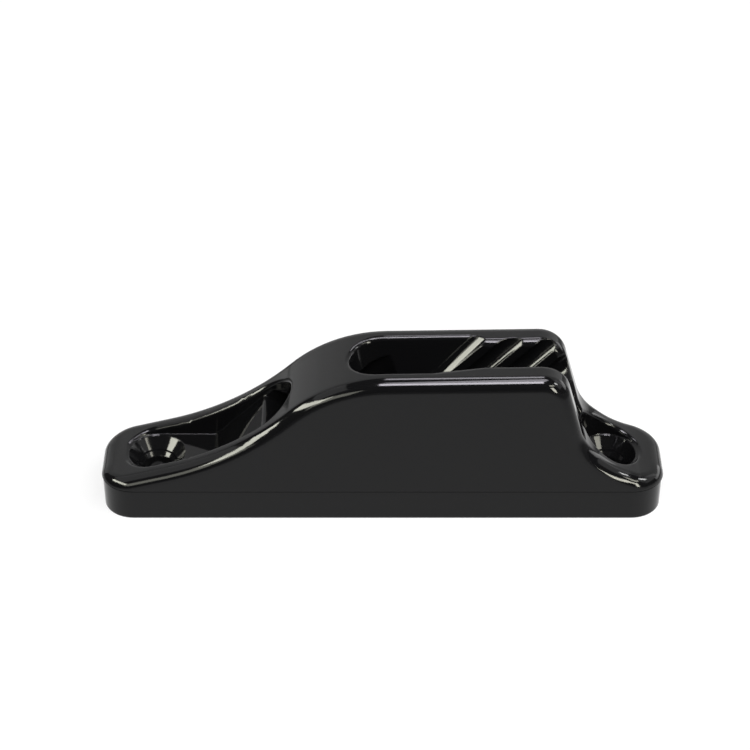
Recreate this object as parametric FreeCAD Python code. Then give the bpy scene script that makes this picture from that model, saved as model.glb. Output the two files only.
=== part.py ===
import FreeCAD, Part
import math
import os

# Jam cleat for small cordage: one nylon moulding, screwed down through its two ends.
# Millimetres. Z is up and the flat underside lies on z = 0, with the origin at its centre. Places
# along the body are shares of its length from the middle, so the body stretches as a whole.
# The rope comes from -X, climbs the ramp, passes under the bridge and jams between the ribbed
# jaws, and its tail leaves towards +X. Only the ribbed pads differ between the near jaw (y < 0)
# and the far jaw (y > 0): all the rest is symmetric about the plane y = 0.

# overall body
LENGTH = 82.15
WIDTH = 14.6
END_ROUND = 4.85          # plan radius of the four corners
EDGE_ROUND = 1.95         # rounding along the whole top edge

# base below the parting line
PARTING_HEIGHT = 5.0
BASE_STEP = 0.2           # the upper half overhangs the base by this much all round
BASE_DRAFT = 0.75         # degrees

# side view of the top: heights, and slopes in degrees
END_HEIGHT_LEFT = 6.15
END_HEIGHT_RIGHT = 6.5
END_SLOPE = 3.0
SHOULDER_SLOPE = 14.8
SHOULDER_START = -0.4784 * LENGTH
RAMP_SLOPE = 43.7
RAMP_START = -0.2575 * LENGTH
RIDGE_HEIGHT = 24.37      # at RIDGE_REFERENCE
RIDGE_REFERENCE = 0.1217 * LENGTH
RIDGE_SLOPE = 0.96
RIDGE_END = 0.3128 * LENGTH
DROP_SLOPE = 74.5
TAIL_SLOPE = 39.3
TAIL_START = 0.4346 * LENGTH

# arcs in the corners of the side view; a share is what an arc takes of the straight run beside it
SHOULDER_ROUND = 11.0
SWEEP_SHARE = 0.56        # at the foot of the ramp
CROWN_SHARE = 0.43        # at the head of the ramp
NOSE_ROUND = 4.2
VALLEY_SHARE = 0.33       # of the tail slope
TAIL_SHARE = 0.54

# screw holes
HOLE_INSET = 8.075        # from each end
HOLE_DIAMETER = 4.2
HEAD_DIAMETER = 8.4
HEAD_ANGLE = 82.0         # degrees, included angle of the countersink

# recesses round the screw heads; the left one runs on as the mouth, the rope's way in
RECESS_RADIUS = 4.35
RECESS_FLOOR = 6.7
RECESS_EDGE_ROUND = 0.6   # also along the top edges of the plain jaw walls
MOUTH_END = -0.1595 * LENGTH
WAY_IN_FOOT = -0.2988 * LENGTH
WAY_IN_SLOPE = 44.3       # degrees

# tunnel under the bridge
TUNNEL_WALL_STEP = 0.25   # on each side, the tunnel is narrower than the mouth
TUNNEL_FLOOR = 11.1
CREST_HEIGHT = 14.0       # the way in rises to here, and the tunnel floor drops behind it
CREST_ROUND = 0.5
CREST_BACK_SLOPE = 35.0   # degrees
BRIDGE_UNDERSIDE = 14.85  # where the slope of the way in would reach it
BRIDGE_SLOPE_MOUTH = 9.0  # degrees, up to the end of the mouth
BRIDGE_SLOPE = 24.0       # degrees, from there on
BRIDGE_ROUND = 8.0

# jaws
JAW_LEFT_END = -0.0596 * LENGTH
JAW_TOP_HALF = 4.35       # half width between the plain walls at RIDGE_HEIGHT
JAW_FLOOR_HALF = 1.5      # at TUNNEL_FLOOR

# pads: the right part of each jaw stands proud of the plain wall and carries the ribs
PAD_START = 0.0438 * LENGTH
PAD_FOOT = 12.5
PAD_EDGE_ROUND = 1.2
PAD_BACK_MARGIN = 0.1     # how far the hidden backs run past the rounded edges of the plain walls
FAR_PAD_HALF = 2.9        # from the middle to the rib crests at RIDGE_HEIGHT
FAR_PAD_LEAN = 5.0        # degrees from upright
NEAR_PAD_HALF = 2.6
NEAR_PAD_LEAN = 3.0
NEAR_PAD_FULL = 0.1765 * LENGTH    # the near pad tapers in from PAD_START to here

# scalloped grooves between the ribs; x values are where their axes cross RIDGE_HEIGHT
GROOVE_COUNT = 4
GROOVE_PITCH = 5.6
GROOVE_SLOPE = 45.0       # degrees
GROOVE_RADIUS = 1.45
GROOVE_DEPTH = 0.9
FAR_PAD_END = 0.1558 * LENGTH      # the half groove that ends the far pad on the left
FAR_PAD_SKIN = 0.05       # what it leaves of the pad
FAR_GROOVE_FIRST = 0.2258 * LENGTH
NEAR_GROOVE_FIRST = 0.1753 * LENGTH
NEAR_GROOVE_TOP_DEPTH = 0.4    # the near grooves grow shallow upwards

OVERCUT = 5.0             # how far cutters run past what they cut
TOUCH = 0.01              # points closer than this count as touching

HOLE_X = LENGTH / 2 - HOLE_INSET
PAD_BACK = JAW_TOP_HALF + RECESS_EDGE_ROUND + PAD_BACK_MARGIN
CREST = WAY_IN_FOOT + (CREST_HEIGHT - RECESS_FLOOR) / math.tan(math.radians(WAY_IN_SLOPE))
CREST_BACK = CREST + (CREST_HEIGHT - TUNNEL_FLOOR) / math.tan(math.radians(CREST_BACK_SLOPE))
BRIDGE_START = WAY_IN_FOOT + (BRIDGE_UNDERSIDE - RECESS_FLOOR) / math.tan(math.radians(WAY_IN_SLOPE))
JAW_SPREAD = (JAW_TOP_HALF - JAW_FLOOR_HALF) / (RIDGE_HEIGHT - TUNNEL_FLOOR)


def vec(x, y, z):
    return FreeCAD.Vector(x, y, z)


def rise(slope, run):
    return math.tan(math.radians(slope)) * run


def meet(first, first_slope, second, second_slope):
    """Point (x, z) where two straight runs of the side view cross."""
    t1, t2 = rise(first_slope, 1), rise(second_slope, 1)
    x = (second[1] - first[1] + t1 * first[0] - t2 * second[0]) / (t1 - t2)
    return x, first[1] + t1 * (x - first[0])


def arc_radius(share, start, end, turn):
    """Radius of an arc that turns by so many degrees and takes a share of the run between two corners."""
    return share * math.dist(start, end) / rise(turn / 2, 1)


def rounded_edges(points, radii, closed=False):
    """Lines through the points, with tangent arcs of the given radii at the inner points."""
    count = len(points)
    starts, ends, arcs = {}, {}, {}
    for i in range(count):
        radius = radii[i]
        if not radius:
            starts[i] = ends[i] = points[i]
            continue
        before, here, after = points[i - 1], points[i], points[(i + 1) % count]
        u = (before - here).normalize()
        v = (after - here).normalize()
        half = u.getAngle(v) / 2
        reach = radius / math.tan(half)
        middle = here + (u + v).normalize() * (radius / math.sin(half) - radius)
        starts[i], ends[i] = here + u * reach, here + v * reach
        arcs[i] = Part.Arc(starts[i], middle, ends[i]).toShape()
    edges = []
    for i in range(count):
        if i in arcs:
            edges.append(arcs[i])
        following = (i + 1) % count
        if following == 0 and not closed:
            break
        if (ends[i] - starts[following]).Length > 1e-6:
            edges.append(Part.makeLine(ends[i], starts[following]))
    return edges


def side_prism(points, radii, half_width):
    """Solid of the side-view outline (x, z), between y = -half_width and +half_width."""
    outline = [vec(x, -half_width, z) for x, z in points]
    face = Part.Face(Part.Wire(rounded_edges(outline, radii, closed=True)))
    return face.extrude(vec(0, 2 * half_width, 0))


def rounded_plan(inset, z):
    """Level outline of the whole body at a height, set in all round."""
    x, y = LENGTH / 2 - inset, WIDTH / 2 - inset
    corners = [vec(sx * x, sy * y, z) for sx, sy in ((-1, -1), (1, -1), (1, 1), (-1, 1))]
    return Part.Wire(rounded_edges(corners, [END_ROUND - inset] * 4, closed=True))


def slot_outline(x_left, x_right, radius, z):
    """Level slot outline with round ends, whose arcs are centred on x_left and x_right."""
    return Part.Wire([Part.makeLine(vec(x_left, -radius, z), vec(x_right, -radius, z)),
                      Part.Arc(vec(x_right, -radius, z), vec(x_right + radius, 0, z),
                               vec(x_right, radius, z)).toShape(),
                      Part.makeLine(vec(x_right, radius, z), vec(x_left, radius, z)),
                      Part.Arc(vec(x_left, radius, z), vec(x_left - radius, 0, z),
                               vec(x_left, -radius, z)).toShape()])


def slot_prism(x_left, x_right, radius, z_low, z_high):
    """Upright slot with round ends, whose arcs are centred on x_left and x_right."""
    return Part.Face(slot_outline(x_left, x_right, radius, z_low)).extrude(vec(0, 0, z_high - z_low))


def ridge_height(x):
    return RIDGE_HEIGHT + rise(RIDGE_SLOPE, x - RIDGE_REFERENCE)


def top_line(reach):
    """Corner points and radii of the top, its two end runs lengthened by the given reach."""
    half = LENGTH / 2
    left = (-half, END_HEIGHT_LEFT)
    shoulder = (SHOULDER_START, END_HEIGHT_LEFT + rise(END_SLOPE, SHOULDER_START + half))
    ramp = (RAMP_START, shoulder[1] + rise(SHOULDER_SLOPE, RAMP_START - SHOULDER_START))
    crown = meet(ramp, RAMP_SLOPE, (RIDGE_REFERENCE, RIDGE_HEIGHT), RIDGE_SLOPE)
    nose = (RIDGE_END, ridge_height(RIDGE_END))
    tail = (TAIL_START, END_HEIGHT_RIGHT + rise(END_SLOPE, half - TAIL_START))
    valley = meet(nose, -DROP_SLOPE, tail, -TAIL_SLOPE)
    right = (half, END_HEIGHT_RIGHT)
    left = (left[0] - reach, left[1] - rise(END_SLOPE, reach))
    right = (right[0] + reach, right[1] - rise(END_SLOPE, reach))
    radii = [0, SHOULDER_ROUND, arc_radius(SWEEP_SHARE, ramp, crown, RAMP_SLOPE - SHOULDER_SLOPE),
             arc_radius(CROWN_SHARE, ramp, crown, RAMP_SLOPE - RIDGE_SLOPE), NOSE_ROUND,
             arc_radius(VALLEY_SHARE, valley, tail, DROP_SLOPE - TAIL_SLOPE),
             arc_radius(TAIL_SHARE, valley, tail, TAIL_SLOPE - END_SLOPE), 0]
    return [left, shoulder, ramp, crown, nose, valley, tail, right], radii


def under_top():
    """Everything below the top surface, wider and longer than the body."""
    points, radii = top_line(OVERCUT)
    left, right = (points[0][0], -OVERCUT), (points[-1][0], -OVERCUT)
    return side_prism([left] + points + [right], [0] + radii + [0], WIDTH)


def top_edges(body, keep):
    """Edges of the body that lie in the top surface and whose middle point passes the test."""
    points, radii = top_line(OVERCUT)
    line = Part.Wire(rounded_edges([vec(x, 0, z) for x, z in points], radii))
    chosen = []
    for edge in body.Edges:
        middle = edge.valueAt((edge.FirstParameter + edge.LastParameter) / 2)
        if line.distToShape(Part.Vertex(middle.x, 0, middle.z))[0] < TOUCH and keep(middle):
            chosen.append(edge)
    return chosen


def outer_body():
    """Outside of the body down to the underside, with its whole top edge rounded."""
    tall = RIDGE_HEIGHT + OVERCUT
    block = Part.Face(rounded_plan(0, 0)).extrude(vec(0, 0, tall))
    sides = Part.Shell([face for face in block.Faces if face.BoundBox.ZLength > TOUCH])
    body = block.common(under_top())
    rim = top_edges(body, lambda point: sides.distToShape(Part.Vertex(point))[0] < TOUCH)
    above = Part.makeBox(2 * LENGTH, 2 * WIDTH, tall, vec(-LENGTH, -WIDTH, PARTING_HEIGHT))
    foot = rounded_plan(BASE_STEP + rise(BASE_DRAFT, PARTING_HEIGHT), 0)
    base = Part.makeLoft([foot, rounded_plan(BASE_STEP, PARTING_HEIGHT)], True, True)
    return body.makeFillet(EDGE_ROUND, rim).common(above).fuse(base).removeSplitter()


def jaw_half_width(z):
    """Half width of the jaw groove at a height."""
    return JAW_FLOOR_HALF + (z - TUNNEL_FLOOR) * JAW_SPREAD


def jaw_groove():
    """Tapered groove between the jaws: round at its left end and open at its right end."""
    left, right, top = JAW_LEFT_END + JAW_TOP_HALF, HOLE_X, RIDGE_HEIGHT + OVERCUT
    outlines = [slot_outline(left, right, jaw_half_width(z), z) for z in (TUNNEL_FLOOR, top)]
    return Part.makeLoft(outlines, True, True)


def bridge_points(end):
    """Underside of the bridge in the side view, from the way in to x = end."""
    bend = BRIDGE_UNDERSIDE + rise(BRIDGE_SLOPE_MOUTH, MOUTH_END - BRIDGE_START)
    high = bend + rise(BRIDGE_SLOPE, end - MOUTH_END)
    return [(BRIDGE_START, BRIDGE_UNDERSIDE), (MOUTH_END, bend), (end, high)]


def floors(outer):
    """What stays of the body below the two recess floors and the sloping way in."""
    back = (MOUTH_END + JAW_LEFT_END) / 2
    points = [(-LENGTH, -OVERCUT), (-LENGTH, RECESS_FLOOR), (WAY_IN_FOOT, RECESS_FLOOR)]
    points += bridge_points(back) + [(back, -OVERCUT)]
    left = side_prism(points, [0, 0, 0, 0, BRIDGE_ROUND, 0, 0], WIDTH)
    right = Part.makeBox(LENGTH, 2 * WIDTH, RECESS_FLOOR + OVERCUT, vec(RIDGE_REFERENCE, -WIDTH, -OVERCUT))
    return outer.common(left.fuse(right))


def tunnel():
    """Rope tunnel from the way in to the jaws, its floor dropping behind the crest of the way in."""
    end = JAW_LEFT_END + 2 * JAW_TOP_HALF
    points = [(WAY_IN_FOOT, RECESS_FLOOR), (CREST, CREST_HEIGHT)]
    points += [(CREST_BACK, TUNNEL_FLOOR), (end, TUNNEL_FLOOR)]
    points += bridge_points(end)[::-1] + [(WAY_IN_FOOT, BRIDGE_UNDERSIDE)]
    radius = RECESS_RADIUS - TUNNEL_WALL_STEP
    plan = slot_prism(-HOLE_X, JAW_LEFT_END + JAW_TOP_HALF, radius, 0, RIDGE_HEIGHT)
    return side_prism(points, [0, CREST_ROUND, 0, 0, 0, BRIDGE_ROUND, 0, 0], WIDTH).common(plan)


def screw_hole(x):
    """Through hole and the countersink that opens it up to the recess floor."""
    hole, head = HOLE_DIAMETER / 2, HEAD_DIAMETER / 2
    depth = (head - hole) / math.tan(math.radians(HEAD_ANGLE / 2))
    cone = Part.makeCone(hole, head, depth, vec(x, 0, RECESS_FLOOR - depth))
    return Part.makeCylinder(hole, RECESS_FLOOR, vec(x, 0, 0)).fuse(cone)


def pad_half_width(half, lean, z):
    """Half width between the crests of two pads at a height."""
    return half + rise(lean, z - RIDGE_HEIGHT)


def pad_block(half, lean, start):
    """Pad of the far side without its ribs, from x = start on, its inner edge rounded down to its foot."""
    tall = RIDGE_HEIGHT + OVERCUT
    corners = [vec(start, WIDTH, PAD_FOOT), vec(start, WIDTH, tall)]
    corners += [vec(start, pad_half_width(half, lean, z), z) for z in (tall, PAD_FOOT)]
    section = Part.Face(Part.makePolygon(corners + corners[:1]))
    block = section.extrude(vec(HOLE_X - start, 0, 0)).common(under_top())
    inner = top_edges(block, lambda point: point.x > start + TOUCH and point.y < PAD_BACK
                      and point.z > PAD_FOOT + TOUCH)
    return block.makeFillet(PAD_EDGE_ROUND, inner)


def hidden_back(pad):
    """The pad without what would lie outside the jaw."""
    return pad.common(Part.makeBox(LENGTH, PAD_BACK, 2 * RIDGE_HEIGHT, vec(0, 0, 0)))


def groove(x, floor_low, floor_high):
    """Slanting round cutter, its floor at half widths given for TUNNEL_FLOOR and RIDGE_HEIGHT."""
    points = []
    for z, floor in ((TUNNEL_FLOOR, floor_low), (RIDGE_HEIGHT, floor_high)):
        shift = (z - RIDGE_HEIGHT) / math.tan(math.radians(GROOVE_SLOPE))
        points.append(vec(x + shift, floor - GROOVE_RADIUS, z))
    start, along = points[0], points[1] - points[0]
    return Part.makeCylinder(GROOVE_RADIUS, along.Length + OVERCUT, start, along)


def grooves(first, half, lean, top_depth):
    """Cutters of all the grooves of one pad."""
    low = pad_half_width(half, lean, TUNNEL_FLOOR) + GROOVE_DEPTH
    return [groove(first + i * GROOVE_PITCH, low, half + top_depth) for i in range(GROOVE_COUNT)]


def far_pad():
    """Pad of the far jaw: the half groove at its left end runs into the plain wall."""
    reach = RIDGE_HEIGHT + OVERCUT
    slant = 1 / rise(GROOVE_SLOPE, 1)
    left = [(FAR_PAD_END + OVERCUT * slant, reach), (-HOLE_X, reach), (-HOLE_X, 0),
            (FAR_PAD_END - RIDGE_HEIGHT * slant, 0)]
    cutters = [side_prism(left, [0] * len(left), WIDTH)]
    cutters.append(groove(FAR_PAD_END, JAW_FLOOR_HALF - FAR_PAD_SKIN, JAW_TOP_HALF - FAR_PAD_SKIN))
    cutters += grooves(FAR_GROOVE_FIRST, FAR_PAD_HALF, FAR_PAD_LEAN, GROOVE_DEPTH)
    return hidden_back(pad_block(FAR_PAD_HALF, FAR_PAD_LEAN, PAD_START)).cut(cutters)


def near_pad():
    """Pad of the near jaw, made on the far side and mirrored: it tapers in from the plain wall."""
    block = pad_block(NEAR_PAD_HALF, NEAR_PAD_LEAN, NEAR_PAD_FULL)
    end = min(block.Faces, key=lambda face: face.CenterOfMass.x)
    run = PAD_START - NEAR_PAD_FULL
    taper = end.extrude(vec(run, JAW_TOP_HALF - NEAR_PAD_HALF, rise(RIDGE_SLOPE, run)))
    cutters = grooves(NEAR_GROOVE_FIRST, NEAR_PAD_HALF, NEAR_PAD_LEAN, NEAR_GROOVE_TOP_DEPTH)
    return hidden_back(block.fuse(taper)).cut(cutters).mirror(vec(0, 0, 0), vec(0, 1, 0))


def cleat_body():
    outer = outer_body()
    low, high = -OVERCUT, RIDGE_HEIGHT + OVERCUT
    mouth = slot_prism(-HOLE_X, MOUTH_END - RECESS_RADIUS, RECESS_RADIUS, low, high)
    tail_recess = Part.makeCylinder(RECESS_RADIUS, high - low, vec(HOLE_X, 0, low))
    openings = mouth.fuse([tail_recess, jaw_groove()])
    body = outer.cut(openings)
    lips = top_edges(body, lambda point: openings.distToShape(Part.Vertex(point))[0] < TOUCH)
    body = body.makeFillet(RECESS_EDGE_ROUND, lips).fuse(floors(outer))
    body = body.cut(tunnel()).cut(screw_hole(-HOLE_X)).cut(screw_hole(HOLE_X))
    return body.fuse([far_pad(), near_pad()]).removeSplitter()


os.makedirs("parts", exist_ok=True)
cleat_body().exportStep("parts/cleat_body.step")
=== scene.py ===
"""Looks of a small jam cleat, a glossy black nylon moulding in a white photo studio, as an add-on."""

import math

import bmesh
import bpy
import numpy as np
from mathutils import Matrix, Vector


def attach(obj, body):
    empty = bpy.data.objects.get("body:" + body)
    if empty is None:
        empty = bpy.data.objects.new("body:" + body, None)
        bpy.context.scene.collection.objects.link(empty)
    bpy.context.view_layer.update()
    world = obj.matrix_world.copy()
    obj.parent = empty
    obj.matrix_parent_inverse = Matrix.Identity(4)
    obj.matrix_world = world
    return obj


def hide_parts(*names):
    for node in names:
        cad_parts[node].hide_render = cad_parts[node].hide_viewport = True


bl_info = {
    "name": "Jam Cleat Studio",
    "version": (1, 0, 0),
    "blender": (4, 5, 0),
    "location": "3D View > Sidebar > Jam Cleat",
    "description": "Finishes the jam cleat as glossy moulded nylon and sets it in a white photo studio",
    "category": "Object",
}

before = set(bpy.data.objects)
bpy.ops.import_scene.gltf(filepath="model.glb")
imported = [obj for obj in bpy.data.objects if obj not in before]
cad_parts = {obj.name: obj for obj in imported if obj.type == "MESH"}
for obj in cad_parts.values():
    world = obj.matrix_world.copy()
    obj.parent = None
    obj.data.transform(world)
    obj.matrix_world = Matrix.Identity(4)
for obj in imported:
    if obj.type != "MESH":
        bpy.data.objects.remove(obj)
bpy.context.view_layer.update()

MM = 0.001
NODE = "cleat_body"

# sizes of the moulding in mm, as the node has them
HALF_LENGTH, HALF_WIDTH = 41.075, 7.3
END_ROUND = 4.85          # of the outline seen from above
EDGE_ROUND = 1.95         # of the rolled top edge
PARTING_HEIGHT = 5.0
LIP_ROUND = 0.6           # of the lips of the recesses
RECESS_RADIUS = 4.35
HOLE_X = 33.0
MOUTH_END = -13.1
RECESS_RUNS = ((-HOLE_X, MOUTH_END - RECESS_RADIUS), (HOLE_X, HOLE_X))    # centres of the round ends in x

# how the exact normals are found, with lengths in mm
KEPT_NORMAL = "node_normal"
SAME = 0.001              # points closer than this are one
TOUCH = 0.01              # slack of a height or a side
EDGE_SLACK = 0.04         # how far off the ball's surface a point of the edge may lie
LIP_SLACK = 0.03          # the same on a lip
PICK_SLACK = 0.02         # the same for the ends of a triangle's side that is cut
SAG_SLACK = 0.12          # and for its middle
NO_TURN = 1e-6            # sideways part of a unit normal that counts as none
RUN_OUT = 8.0             # how far the ball's path runs on past both ends
EDGE_POINTS = (19, 420)   # of the ball's path: in a quarter turn, and in a straight run
LIP_POINTS = (31, 120)
LIP_CUTS = 3              # of each triangle's side on a lip

# gloss level of the skin away from the parting line; on the line itself the gloss falls to none, which paints
# the shade of the crease at the step dark
FULL_GLOSS = 0.5

# the studio: lengths in metres, but the sensor and the pool in mm, and angles in degrees
FRAME_PX = 750
SENSOR_WIDTH = 36.0
NEAR_CLIP, FAR_CLIP = 0.01, 20.0
FLOOR_SIZE = 6.0
FLOOR_COLOUR = 0x8C8C8C
GLOSS_POOL = (45, 120)    # radii between which the floor's own light fades for the gloss
BACKDROP_RADIUS, BACKDROP_HEIGHT = 2.5, 3.2
BACKDROP_REACH = (-55, 75)
BACKDROP_COLUMNS = 65
BACKDROP_COLOUR = 0xD0D0D0
LAMP_DISTANCE = 2.0
WHITE, WARM, WARMER, COOL = 0xFFFFFF, 0xFFFFF0, 0xFFFDEE, 0xFAF6FF

# name, azimuth (0 behind the part, 90 at its right), elevation, width and height, radiance, colour,
# whether it lights matt things, and whether the gloss shows it
LAMPS = (
    ("Key", 150, 60, (60, 40), 4.0, WHITE, True, False),
    ("Left panel", -90, 50, (50, 24), 1.2, WHITE, True, True),
    ("Right panel", 90, 33, (50, 28), 1.1, WHITE, True, True),
    ("Left strip", -111, 31, (52, 10), 28.0, WARM, False, True),
    ("Left strip tail", -149, 25, (28, 16), 6.0, WARM, False, True),
    ("Front box", 177, 66, (15, 15), 32.0, COOL, False, True),
    ("Top box", 120, 80, (24, 16), 13.0, COOL, False, True),
    ("Rear box", 8, 64, (12, 14), 13.0, COOL, False, True),
    ("Right low box", 147, 12, (10, 26), 30.0, WARMER, False, True),
    ("Right box", 100, 42, (8, 8), 30.0, WHITE, False, True),
    ("Right middle box", 137, 38, (20, 8), 15.0, WARMER, False, True),
    ("Right rear panel", 62, 10, (40, 16), 2.6, WHITE, False, True),
)


def linear(hex_colour):
    """RGBA for Blender from an sRGB hex colour such as 0x141416."""
    channels = [(hex_colour >> shift & 255) / 255 for shift in (16, 8, 0)]
    return tuple(c / 12.92 if c <= 0.04045 else ((c + 0.055) / 1.055) ** 2.4 for c in channels) + (1.0,)


def add_node(material, kind, settings=None, links=None):
    """A node of the given kind: settings are properties or inputs by name or number, links feed inputs."""
    node = material.node_tree.nodes.new(kind)
    for name, value in (settings or {}).items():
        if isinstance(name, int) or name in node.inputs:
            node.inputs[name].default_value = value
        else:
            setattr(node, name, value)
    for name, socket in (links or {}).items():
        material.node_tree.links.new(socket, node.inputs[name])
    return node


def new_material(name):
    """An empty node material and its output node."""
    material = bpy.data.materials.new(name)
    material.use_nodes = True
    material.node_tree.nodes.clear()
    return material, material.node_tree.nodes.new("ShaderNodeOutputMaterial")


def read(things, name, width):
    """One value of every vertex, face or corner of a mesh, as the rows of an array."""
    values = np.empty(width * len(things), dtype=np.float32)
    things.foreach_get(name, values)
    return values.reshape(-1, width).astype(float)


def outside(points):
    """Distance past the body's outline seen from above: |max(q, 0)| - R with q = |p| - half + R."""
    corner = np.maximum(np.abs(points[:, :2]) - (HALF_LENGTH - END_ROUND, HALF_WIDTH - END_ROUND), 0)
    return np.linalg.norm(corner, axis=1) - END_ROUND


def side_path(verts, normals, corners):
    """Side view of the path c of a ball that rolls in the top edge. It touches the flat sides at its own
    height, so c is their upper rim.
    """
    flat = np.abs(np.abs(verts[:, 1]) - HALF_WIDTH) < SAME
    upright = flat[corners].all(1) & (np.abs(normals[:, 2]) < SAME)
    rim = np.unique(corners[upright])
    rim = rim[(verts[rim, 2] > PARTING_HEIGHT + TOUCH) & (verts[rim, 1] < 0)]
    rim = verts[rim][np.argsort(verts[rim, 0])][:, (0, 2)]
    start = rim[0] + (rim[0] - rim[2]) * RUN_OUT / (rim[2, 0] - rim[0, 0])
    end = rim[-1] + (rim[-1] - rim[-3]) * RUN_OUT / (rim[-1, 0] - rim[-3, 0])
    return np.vstack((start, rim, end))


def raised(side, height):
    """A side path moved up along its own normal."""
    step = np.gradient(side, axis=0)
    normal = np.column_stack((-step[:, 1], step[:, 0])) / np.linalg.norm(step, axis=1)[:, None]
    return side + height * normal


def path_round(half_x, half_y, radius, centre_x, side, points):
    """Closed path of four quarter arcs of r with straight runs between them, at a side path's heights."""
    turn = np.radians(np.linspace(0, 90, points[0]))
    arc = (half_x - radius, half_y - radius) + radius * np.stack((np.cos(turn), np.sin(turn)), 1)
    run = np.linspace(half_x - radius, radius - half_x, points[1])[1:-1]
    half = np.vstack((arc, np.stack((run, np.full(len(run), half_y)), 1), arc[::-1] * (-1, 1)))
    loop = np.vstack((half, -half, half[:1])) + (centre_x, 0)
    loop = loop[np.append(True, np.linalg.norm(np.diff(loop, axis=0), axis=1) > SAME)]
    return np.column_stack((loop, np.interp(loop[:, 0], side[:, 0], side[:, 1])))


def lip_paths(side):
    """Paths of the balls that round the lips of the two recesses: slots of radius R + r."""
    radius = RECESS_RADIUS + LIP_ROUND
    lifted = raised(side, EDGE_ROUND - LIP_ROUND)
    return [path_round((end - start) / 2 + radius, radius, radius, (start + end) / 2, lifted, LIP_POINTS)
            for start, end in RECESS_RUNS]


def nearest(points, path):
    """Nearest place on a path of straight pieces: a + t (b - a), t = (p - a).(b - a) / |b - a|^2 in 0..1."""
    a, step = path[:-1], np.diff(path, axis=0)
    t = np.einsum("psk,sk->ps", points[:, None] - a, step) / (step ** 2).sum(1)
    places = a + np.clip(t, 0, 1)[..., None] * step
    best = np.linalg.norm(points[:, None] - places, axis=2).argmin(1)
    return places[np.arange(len(points)), best]


def rounding(points, path, radius, slack):
    """Unit directions from the nearest place on a ball's path, distances, and which points lie on it."""
    away = points - nearest(points, path)
    length = np.linalg.norm(away, axis=1)
    on_ball = (np.abs(length - radius) < slack) & (away[:, -1] > -TOUCH)
    return away / np.maximum(length, SAME)[:, None], length, on_ball


def on_lips(points, side, slack):
    """Which points lie on the rounded lips of the recesses."""
    return np.any([rounding(points, path, LIP_ROUND, slack)[2] for path in lip_paths(side)], axis=0)


def exact_surface(verts, side):
    """Exact normals of the top, its rolled edge and the lips: n = (p - c) / |p - c|, c on the ball's path.
    Other points have none. Also gives all the points, those of the lips moved on to c + r n.
    """
    normals = np.full(verts.shape, np.nan)
    places = verts.copy()
    above = verts[:, 2] > PARTING_HEIGHT - TOUCH
    width = np.abs(verts[:, 1])

    # the land between the rolled edges, which has the side view's curve all the way across
    land = np.flatnonzero(above & (width < HALF_WIDTH - EDGE_ROUND + SAME))
    direction, _, fits = rounding(verts[land][:, (0, 2)], side, EDGE_ROUND, EDGE_SLACK)
    normals[land[fits]] = np.insert(direction[fits], 1, 0, axis=1)

    # the rolled edge
    past = outside(verts)
    rolled = np.flatnonzero(above & (past > -EDGE_ROUND - TOUCH) & (past < EDGE_SLACK))
    path = path_round(HALF_LENGTH - EDGE_ROUND, HALF_WIDTH - EDGE_ROUND, END_ROUND - EDGE_ROUND, 0, side,
                      EDGE_POINTS)
    direction, _, fits = rounding(verts[rolled], path, EDGE_ROUND, EDGE_SLACK)
    normals[rolled[fits]] = direction[fits]

    # the lips of the recesses
    inside = np.flatnonzero(above & (width < RECESS_RADIUS + LIP_ROUND + TOUCH))
    for path in lip_paths(side):
        direction, length, fits = rounding(verts[inside], path, LIP_ROUND, LIP_SLACK)
        normals[inside[fits]] = direction[fits]
        places[inside[fits]] += direction[fits] * (LIP_ROUND - length[fits, None])
    return normals, places


def weld_and_cut(data):
    """Weld a node's loose triangles and cut those on the lips finer. Gives the rolled edge's side path."""
    mesh = bmesh.new()
    mesh.from_mesh(data)
    bmesh.ops.remove_doubles(mesh, verts=mesh.verts, dist=SAME * MM)
    mesh.verts.index_update()
    verts = np.array([vert.co for vert in mesh.verts]) / MM
    corners = np.array([[vert.index for vert in face.verts] for face in mesh.faces])
    side = side_path(verts, np.array([face.normal for face in mesh.faces]), corners)
    ends = np.array([[vert.index for vert in edge.verts] for edge in mesh.edges])
    chosen = on_lips(verts, side, PICK_SLACK)[ends].all(1) & on_lips(verts[ends].mean(1), side, SAG_SLACK)
    edges = [edge for edge, cut in zip(mesh.edges, chosen) if cut]
    bmesh.ops.subdivide_edges(mesh, edges=edges, cuts=LIP_CUTS, use_grid_fill=True)
    bmesh.ops.triangulate(mesh, faces=[face for face in mesh.faces if len(face.verts) > 3])
    mesh.to_mesh(data)
    mesh.free()
    return side


def refine(data, land_angle, sharp_angle):
    """Weld the mesh, keep the node's own normals, and use exact ones where they turn little from those."""
    kept = data.attributes.new(KEPT_NORMAL, "FLOAT_VECTOR", "CORNER")
    kept.data.foreach_set("vector", read(data.corner_normals, "vector", 3).ravel())
    side = weld_and_cut(data)
    data.shade_smooth()
    shaded = read(data.attributes[KEPT_NORMAL].data, "vector", 3)
    shaded /= np.linalg.norm(shaded, axis=1)[:, None]
    data.attributes.remove(data.attributes[KEPT_NORMAL])
    exact, places = exact_surface(read(data.vertices, "co", 3) / MM, side)
    data.vertices.foreach_set("co", (places * MM).ravel())
    exact = exact[read(data.loops, "vertex_index", 1).astype(int).ravel()]
    on_land = np.abs(exact[:, 1]) < NO_TURN
    close = (exact * shaded).sum(1) > np.cos(np.where(on_land, land_angle, sharp_angle))
    shaded[close] = exact[close]
    data.normals_split_custom_set(shaded.tolist())


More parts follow.
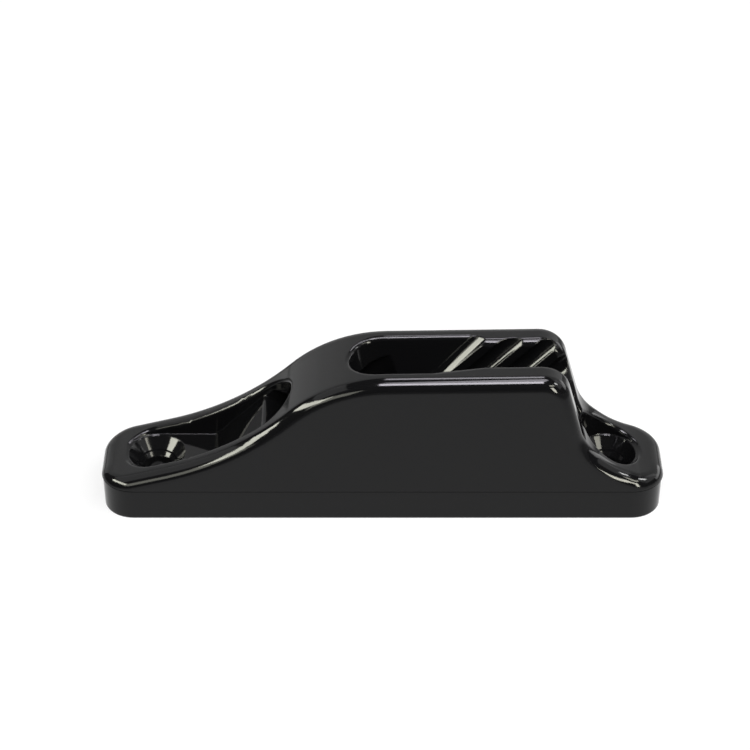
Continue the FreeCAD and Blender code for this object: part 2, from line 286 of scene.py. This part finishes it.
def moulded_nylon(props):
    """Black nylon 6, injection moulded in a polished tool: deep gloss and a faint unevenness from shrinkage.
    At the parting line's real step a thin line has no gloss, which paints the shade of the step's crease
    dark.
    """
    material, output = new_material("Injection-moulded black nylon 6")
    place = add_node(material, "ShaderNodeTexCoord")
    ripple = add_node(material, "ShaderNodeTexNoise",
                      {"Scale": 1 / (props.ripple_pitch * MM), "Detail": 1.0, "Roughness": 0.4},
                      {"Vector": place.outputs["Object"]})
    edge = add_node(material, "ShaderNodeBevel", {"samples": 8, "Radius": props.edge_round * MM})
    axes = add_node(material, "ShaderNodeSeparateXYZ", {}, {"Vector": place.outputs["Object"]})
    height = add_node(material, "ShaderNodeMath", {"operation": "SUBTRACT", 1: PARTING_HEIGHT * MM},
                      {0: axes.outputs["Z"]})
    off_shade_line = add_node(material, "ShaderNodeMath", {"operation": "ABSOLUTE"}, {0: height.outputs[0]})
    bump = add_node(material, "ShaderNodeBump",
                    {"Strength": 1.0, "Distance": props.ripple_height * MM},
                    {"Height": ripple.outputs["Fac"], "Normal": edge.outputs["Normal"]})
    # painted shade: at the parting height the gloss falls to none over a thin line, so the step shows a dark
    # line like shade in its crease
    gloss = add_node(material, "ShaderNodeMapRange",
                     {"From Min": props.line_width * MM / 2, "From Max": props.line_width * MM,
                      "To Min": 0.0, "To Max": FULL_GLOSS},
                     {"Value": off_shade_line.outputs[0]})
    colour = (*props.nylon_colour, 1.0)
    shader = add_node(material, "ShaderNodeBsdfPrincipled",
                      {"Base Color": colour, "Roughness": props.roughness, "IOR": props.ior},
                      {"Normal": bump.outputs["Normal"], "Specular IOR Level": gloss.outputs["Result"]})
    material.node_tree.links.new(shader.outputs["BSDF"], output.inputs["Surface"])
    return material


def white_card(name, colour, own_light, pool=None):
    """Matt white card with its own light for the picture. The gloss sees that light too. With a pool the
    gloss sees it only near the middle, and it fades between the pool's two radii.
    """
    material, output = new_material(name)
    path = add_node(material, "ShaderNodeLightPath")
    gloss = add_node(material, "ShaderNodeMath", {"operation": "MAXIMUM"},
                     {0: path.outputs["Is Glossy Ray"], 1: path.outputs["Is Transmission Ray"]})
    if pool:
        place = add_node(material, "ShaderNodeTexCoord")
        away = add_node(material, "ShaderNodeVectorMath", {"operation": "LENGTH"},
                        {0: place.outputs["Object"]})
        near = add_node(material, "ShaderNodeMapRange",
                        {"interpolation_type": "SMOOTHSTEP", "From Min": pool[0] * MM,
                         "From Max": pool[1] * MM, "To Min": 1.0, "To Max": 0.0},
                        {"Value": away.outputs["Value"]})
        gloss = add_node(material, "ShaderNodeMath", {"operation": "MULTIPLY"},
                         {0: gloss.outputs[0], 1: near.outputs["Result"]})
    shown = add_node(material, "ShaderNodeMath", {"operation": "MAXIMUM"},
                     {0: path.outputs["Is Camera Ray"], 1: gloss.outputs[0]})
    light = add_node(material, "ShaderNodeMath", {"operation": "MULTIPLY", 1: own_light},
                     {0: shown.outputs[0]})
    card = add_node(material, "ShaderNodeBsdfDiffuse", {"Color": linear(colour)})
    white = add_node(material, "ShaderNodeEmission", {"Color": linear(WHITE)}, {"Strength": light.outputs[0]})
    both = add_node(material, "ShaderNodeAddShader", {},
                    {0: card.outputs["BSDF"], 1: white.outputs["Emission"]})
    material.node_tree.links.new(both.outputs["Shader"], output.inputs["Surface"])
    return material


class CleatProps(bpy.types.PropertyGroup):
    """Finish of the moulding."""

    nylon_colour: bpy.props.FloatVectorProperty(
        name="Nylon colour", description="Colour of the black nylon", default=linear(0x111112)[:3],
        subtype="COLOR", min=0, max=1)
    ior: bpy.props.FloatProperty(
        name="IOR", description="Refractive index that sets the strength of the gloss", default=1.31, min=1)
    roughness: bpy.props.FloatProperty(
        name="Roughness", description="Roughness of the polished moulding", default=0.07, min=0, max=1,
        subtype="FACTOR")
    edge_round: bpy.props.FloatProperty(
        name="Edge round (mm)", description="Small rounding that sharp edges show", default=0.35, min=0)
    ripple_pitch: bpy.props.FloatProperty(
        name="Ripple pitch (mm)", description="Size of the faint unevenness of the skin", default=9.0,
        min=0.1)
    ripple_height: bpy.props.FloatProperty(
        name="Ripple height (mm)", description="Depth of the faint unevenness of the skin", default=0.01,
        min=0)
    # painted shade: width of the line at the parting step where the gloss is off, which shows dark like shade
    # in its crease
    line_width: bpy.props.FloatProperty(
        name="Parting line (mm)", description="Width of the dull line where the tool halves met",
        default=0.15, min=0)
    land_angle: bpy.props.FloatProperty(
        name="Land angle", description="Corners turned more than this from the land keep their own normal",
        default=math.radians(6), subtype="ANGLE")
    sharp_angle: bpy.props.FloatProperty(
        name="Sharp angle", description="Corners turned more than this from a rounding keep their own normal",
        default=math.radians(26), subtype="ANGLE")


class StudioProps(bpy.types.PropertyGroup):
    """Camera, floor and lights of the product photograph."""

    focal_px: bpy.props.FloatProperty(
        name="Focal length (px)", description="Camera focal length for a frame 750 pixels wide",
        default=2377.0)
    pitch: bpy.props.FloatProperty(
        name="Camera pitch", description="Angle that the camera looks down", default=math.radians(36.16),
        subtype="ANGLE")
    camera_place: bpy.props.FloatVectorProperty(
        name="Camera place (mm)", description="Where the camera stands", default=(-1.06, -274.8, 221.5))
    room_light: bpy.props.FloatProperty(
        name="Room light", description="Even light of the room", default=0.10, min=0)
    floor_lift: bpy.props.FloatProperty(
        name="Floor lift", description="Own light of the white floor in the picture", default=0.78, min=0)
    wall_lift: bpy.props.FloatProperty(
        name="Wall lift", description="Own light of the white wall behind the part", default=0.70, min=0)


def wall(name, radius, reach, height):
    """Part of an upright cylinder: x = r sin a, y = r cos a, z = h t, a over the reach and t from 0 to 1."""
    around, up = np.meshgrid(np.radians(np.linspace(*reach, BACKDROP_COLUMNS)), (0.0, 1.0))
    points = np.stack((radius * np.sin(around), radius * np.cos(around), height * up), -1).reshape(-1, 3)
    low = np.arange(BACKDROP_COLUMNS - 1)
    high = low + BACKDROP_COLUMNS
    faces = np.stack((low, high, high + 1, low + 1), 1)
    mesh = bpy.data.meshes.new(name)
    mesh.from_pydata(points.tolist(), [], faces.tolist())
    piece = bpy.data.objects.new(name, mesh)
    bpy.context.scene.collection.objects.link(piece)
    return piece


def softbox(name, azimuth, elevation, spread, radiance, colour, diffuse, gloss):
    """Rectangular lamp aimed at the part: angles in degrees, power = radiance x pi x area."""
    around, up = math.radians(azimuth), math.radians(elevation)
    aim = Vector((math.sin(around) * math.cos(up), math.cos(around) * math.cos(up), math.sin(up)))
    data = bpy.data.lights.new(name, "AREA")
    data.shape = "RECTANGLE"
    data.size, data.size_y = [2 * LAMP_DISTANCE * math.tan(math.radians(angle / 2)) for angle in spread]
    data.energy = radiance * math.pi * data.size * data.size_y
    data.color = linear(colour)[:3]
    lamp = bpy.data.objects.new(name, data)
    lamp.visible_camera = False
    lamp.visible_diffuse = diffuse
    lamp.visible_glossy = gloss
    lamp.location = aim * LAMP_DISTANCE
    lamp.rotation_euler = (-aim).to_track_quat("-Z", "Y").to_euler()
    bpy.context.scene.collection.objects.link(lamp)


class CLEAT_OT_moulding(bpy.types.Operator):
    """Give the moulding its glossy black nylon"""

    bl_idname = "cleat.moulding"
    bl_label = "Finish the moulding"

    def execute(self, context):
        props = context.scene.cleat_finish
        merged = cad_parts[NODE].copy()
        merged.data = merged.data.copy()
        merged.name = "cleat_moulding"
        context.scene.collection.objects.link(merged)
        merged.parent = None
        merged.matrix_world = Matrix.Identity(4)
        refine(merged.data, props.land_angle, props.sharp_angle)
        merged.data.materials.clear()
        merged.data.materials.append(moulded_nylon(props))
        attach(merged, "root")
        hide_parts(NODE)
        return {"FINISHED"}


class CLEAT_OT_studio(bpy.types.Operator):
    """Set up the white floor, the soft lights and the camera"""

    bl_idname = "cleat.studio"
    bl_label = "Set up the studio"

    def execute(self, context):
        scene = context.scene
        props = scene.cleat_studio
        scene.view_settings.view_transform = "Standard"
        data = bpy.data.cameras.new("Camera")
        data.sensor_width = SENSOR_WIDTH
        data.lens = props.focal_px / FRAME_PX * SENSOR_WIDTH
        data.clip_start, data.clip_end = NEAR_CLIP, FAR_CLIP
        camera = bpy.data.objects.new("Camera", data)
        camera.location = Vector(props.camera_place) * MM
        camera.rotation_euler = (math.pi / 2 - props.pitch, 0, 0)
        scene.collection.objects.link(camera)
        scene.camera = camera

        world = bpy.data.worlds.new("Studio")
        world.use_nodes = True
        background = world.node_tree.nodes["Background"]
        background.inputs["Color"].default_value = linear(WHITE)
        path = add_node(world, "ShaderNodeLightPath")
        shown = add_node(world, "ShaderNodeMath", {"operation": "MAXIMUM", 1: props.room_light},
                         {0: path.outputs["Is Camera Ray"]})
        world.node_tree.links.new(shown.outputs[0], background.inputs["Strength"])
        scene.world = world

        bpy.ops.mesh.primitive_plane_add(size=FLOOR_SIZE, location=(0, 0, 0))
        floor = context.object
        floor.name = "floor"
        floor.data.materials.append(
            white_card("Matt white floor card", FLOOR_COLOUR, props.floor_lift, GLOSS_POOL))

        backdrop = wall("backdrop", BACKDROP_RADIUS, BACKDROP_REACH, BACKDROP_HEIGHT)
        backdrop.data.materials.append(white_card("Matt white wall card", BACKDROP_COLOUR, props.wall_lift))

        for lamp in LAMPS:
            softbox(*lamp)
        return {"FINISHED"}


class CLEAT_PT_panel(bpy.types.Panel):
    """Shows the buttons and settings of the jam cleat scene"""

    bl_label = "Jam Cleat"
    bl_idname = "CLEAT_PT_panel"
    bl_space_type = "VIEW_3D"
    bl_region_type = "UI"
    bl_category = "Jam Cleat"

    def draw(self, context):
        layout = self.layout
        for operator in OPERATORS:
            layout.operator(operator.bl_idname)
        for group in (context.scene.cleat_finish, context.scene.cleat_studio):
            for name in group.__annotations__:
                layout.prop(group, name)


OPERATORS = (CLEAT_OT_moulding, CLEAT_OT_studio)
CLASSES = (CleatProps, StudioProps, *OPERATORS, CLEAT_PT_panel)


def register():
    for cls in CLASSES:
        bpy.utils.register_class(cls)
    bpy.types.Scene.cleat_finish = bpy.props.PointerProperty(type=CleatProps)
    bpy.types.Scene.cleat_studio = bpy.props.PointerProperty(type=StudioProps)


def unregister():
    del bpy.types.Scene.cleat_finish
    del bpy.types.Scene.cleat_studio
    for cls in reversed(CLASSES):
        bpy.utils.unregister_class(cls)


def main():
    register()
    bpy.ops.cleat.moulding()
    bpy.ops.cleat.studio()


if __name__ == "__main__":
    main()
